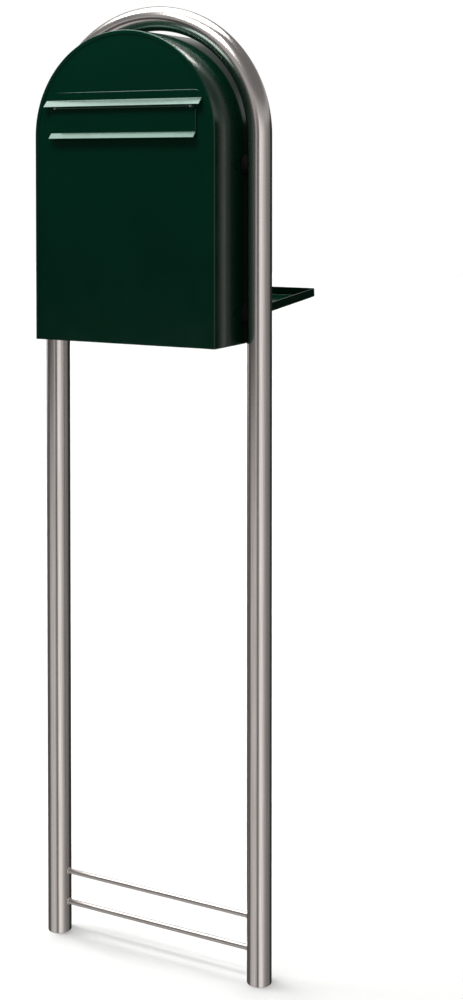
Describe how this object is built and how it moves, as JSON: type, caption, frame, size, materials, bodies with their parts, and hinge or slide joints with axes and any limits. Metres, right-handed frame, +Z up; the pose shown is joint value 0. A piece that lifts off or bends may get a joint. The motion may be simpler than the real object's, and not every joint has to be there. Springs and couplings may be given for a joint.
{
  "type": "letterbox on ground stand",
  "caption": "Arched sheet-steel letterbox with hooded mail flap and drop-down rear door, held between the legs of a bent tube ground stand.",
  "frame": {"origin": "on the ground, midway between the feet of the two legs", "axes": "+Z up along the legs; +X to the right of someone facing the mail flap; the front with the mail flap faces -Y and the rear door +Y"},
  "size_m": [0.394, 0.4079, 1.455],
  "materials": {
    "green_paint": "gloss",
    "stainless": "brushed along the tube",
    "black_plastic": "moulded",
    "rubber": "matte",
    "zinc": "zinc plated",
    "chrome": "polished"
  },
  "bodies": {
    "stand_and_box": {"stand_tube": "stainless", "anchor_rod_upper": "stainless", "anchor_rod_lower": "stainless", "insert_upper_left": "zinc", "insert_lower_left": "zinc", "insert_upper_right": "zinc", "insert_lower_right": "zinc", "spacer_upper_left": "black_plastic", "spacer_lower_left": "black_plastic", "spacer_upper_right": "black_plastic", "spacer_lower_right": "black_plastic", "washer_upper_left": "zinc", "washer_lower_left": "zinc", "washer_upper_right": "zinc", "washer_lower_right": "zinc", "bolt_upper_left": "zinc", "bolt_lower_left": "zinc", "bolt_upper_right": "zinc", "bolt_lower_right": "zinc", "body_shell": "green_paint", "front_panel": "green_paint", "rear_panel": "green_paint", "bottom_plate": "green_paint", "rain_hood": "green_paint", "flap_pin": "zinc", "flap_bracket_left": "zinc", "flap_bracket_right": "zinc", "flap_buffer_left": "rubber", "flap_buffer_right": "rubber", "door_bracket_left": "zinc", "door_bracket_right": "zinc", "door_pivot_left": "zinc", "door_pivot_right": "zinc", "door_stop_left": "zinc", "door_stop_right": "zinc"},
    "flap": {"mail_flap": "green_paint"},
    "door": {"rear_door": "green_paint", "lock_body": "chrome", "lock_nut": "zinc"},
    "lock": {"lock_plug": "chrome", "lock_cam": "zinc", "cam_screw": "zinc"}
  },
  "joints": [
    {"name": "flap_hinge", "type": "hinge", "parent": "stand_and_box", "child": "flap", "pos_m": [0, -0.0959, 1.3], "axis": [-1, 0, 0], "range_deg": [0, 60]},
    {"name": "door_hinge", "type": "hinge", "parent": "stand_and_box", "child": "door", "pos_m": [0, 0.072, 0.989], "axis": [1, 0, 0], "range_deg": [0, 85.5]},
    {"name": "lock_turn", "type": "hinge", "parent": "door", "child": "lock", "pos_m": [0, 0.28534, 1.00579], "axis": [0, -0.0785, 0.9969], "range_deg": [0, 90]}
  ]
}
